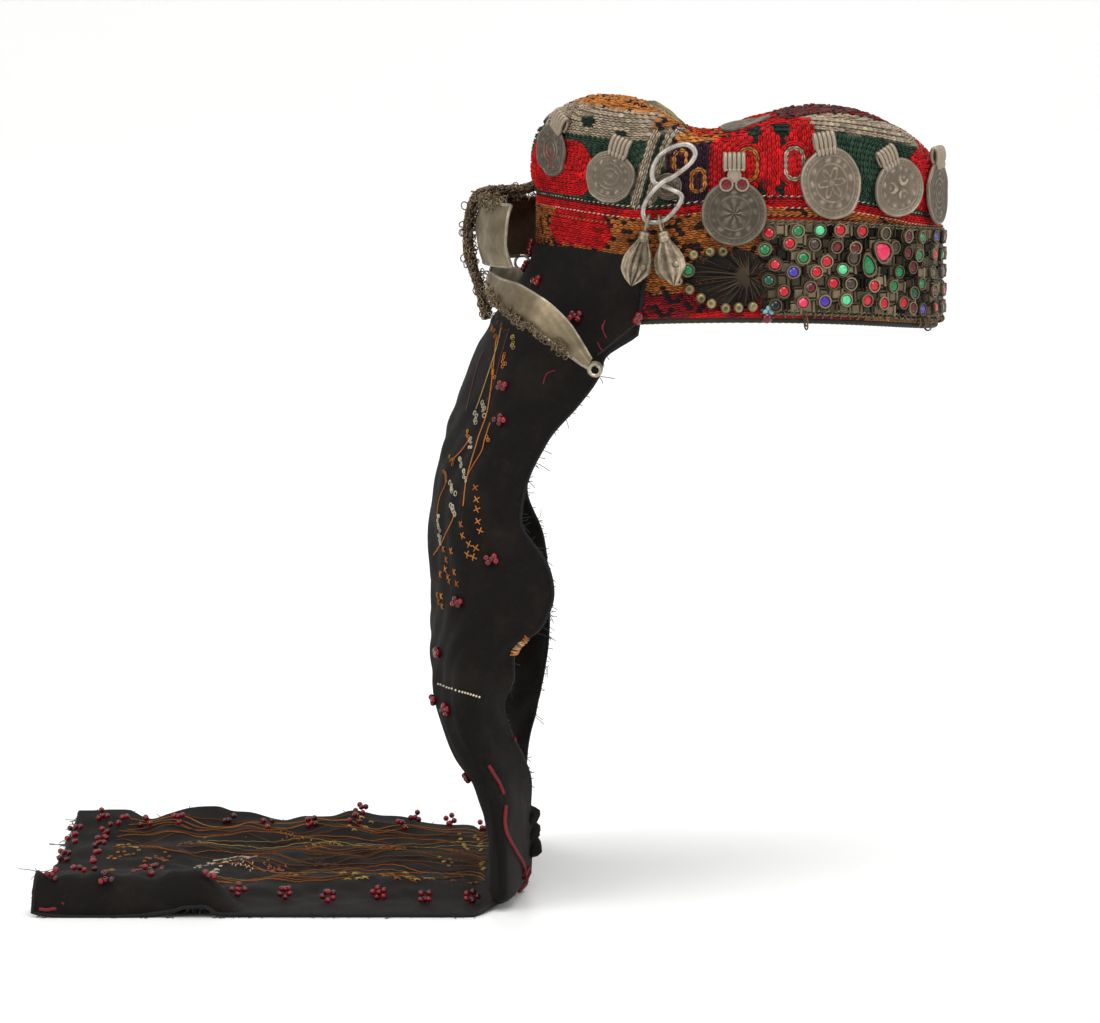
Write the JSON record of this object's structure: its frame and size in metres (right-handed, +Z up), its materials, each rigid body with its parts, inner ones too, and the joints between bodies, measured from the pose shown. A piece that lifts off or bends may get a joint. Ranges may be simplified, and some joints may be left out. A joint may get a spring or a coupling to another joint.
{
  "type": "kalpak hat with a tail cloth",
  "caption": "Embroidered kalpak hat: padded two-lobed crown, band with set glass, hanging silver coins, silver nape piece and a long black embroidered tail cloth.",
  "frame": {"origin": "the middle of the head opening in the plane of the cap's rim, where a head carries the hat", "axes": "+X towards the wearer's face, +Y to the wearer's left, +Z up"},
  "size_m": [0.4395, 0.283, 0.3896],
  "materials": {
    "red_cloth": "matte",
    "orange_cloth": "matte",
    "braid": "matte",
    "piping": "matte",
    "black_cloth": "satin",
    "coin_silver": "satin",
    "old_silver": "satin",
    "pale_silver": "satin",
    "old_brass": "satin",
    "black_thread": "matte"
  },
  "bodies": {
    "root": {"crown": "red_cloth", "cap_band": "orange_cloth", "seam_braid": "braid", "rim_piping": "piping", "tail_panel": "black_cloth", "stone_band": "old_silver", "bead_fan": "old_brass", "s_hook": "pale_silver", "leaf_pendant_rear": "old_silver", "leaf_pendant_front": "old_silver", "nape_plate": "pale_silver", "nape_wing_right": "pale_silver", "nape_wing_left": "pale_silver", "nape_chain": "old_silver", "tie_right": "black_thread", "tie_left": "black_thread", "dent_plate": "old_brass", "small_disc": "old_silver", "top_coin": "old_silver", "coin_1": "coin_silver", "coin_2": "coin_silver", "coin_3": "coin_silver", "coin_4": "coin_silver", "coin_5": "coin_silver", "coin_6": "coin_silver", "coin_7": "coin_silver", "coin_8": "coin_silver", "coin_9": "coin_silver", "coin_10": "coin_silver", "coin_11": "coin_silver"}
  },
  "joints": []
}
